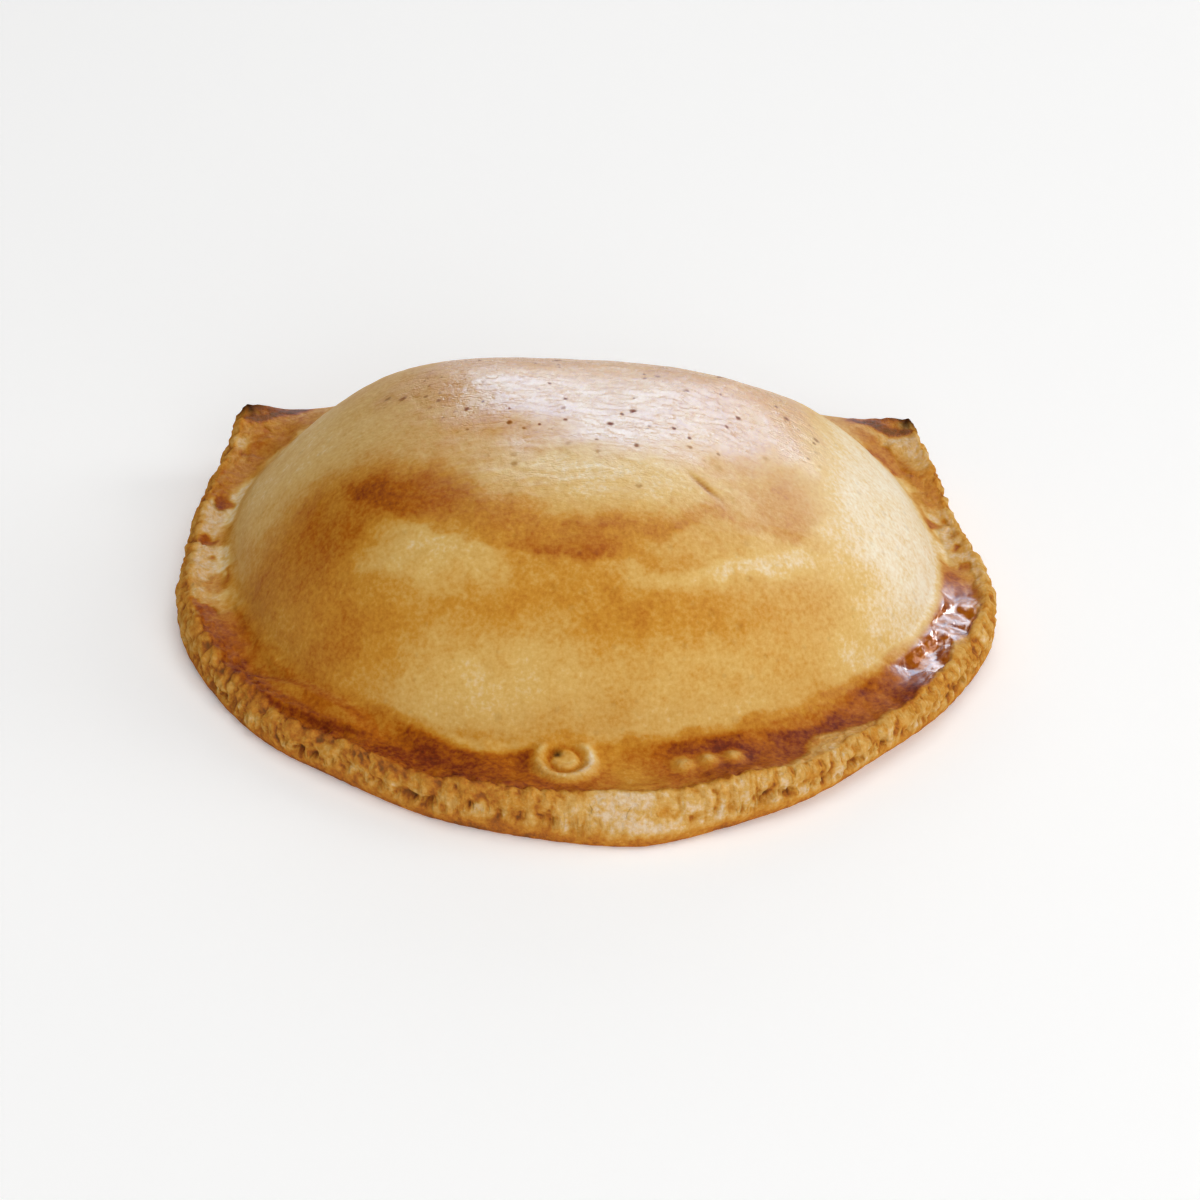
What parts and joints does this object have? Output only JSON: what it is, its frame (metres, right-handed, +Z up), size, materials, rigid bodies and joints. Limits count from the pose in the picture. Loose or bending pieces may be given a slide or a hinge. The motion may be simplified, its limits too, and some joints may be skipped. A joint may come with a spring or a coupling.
{
  "type": "baked empanada",
  "caption": "Baked half-moon turnover with a domed golden crust, a pressed craggy rim, sealed corner ears and a rounded fold; rests on its flat underside.",
  "frame": {"origin": "on the resting surface, under the middle of the bounding box", "axes": "+X along the fold, -Y to the nose of the pressed rim, +Y to the fold, +Z up out of the dome"},
  "size_m": [0.1178, 0.092, 0.035],
  "materials": {
    "baked_crust": "egg-washed baked pastry, golden brown with pale patches, dark glossy glaze on the pressed band and a dry crumbly rim"
  },
  "bodies": {
    "root": {"empanada_crust": "baked_crust"}
  },
  "joints": []
}
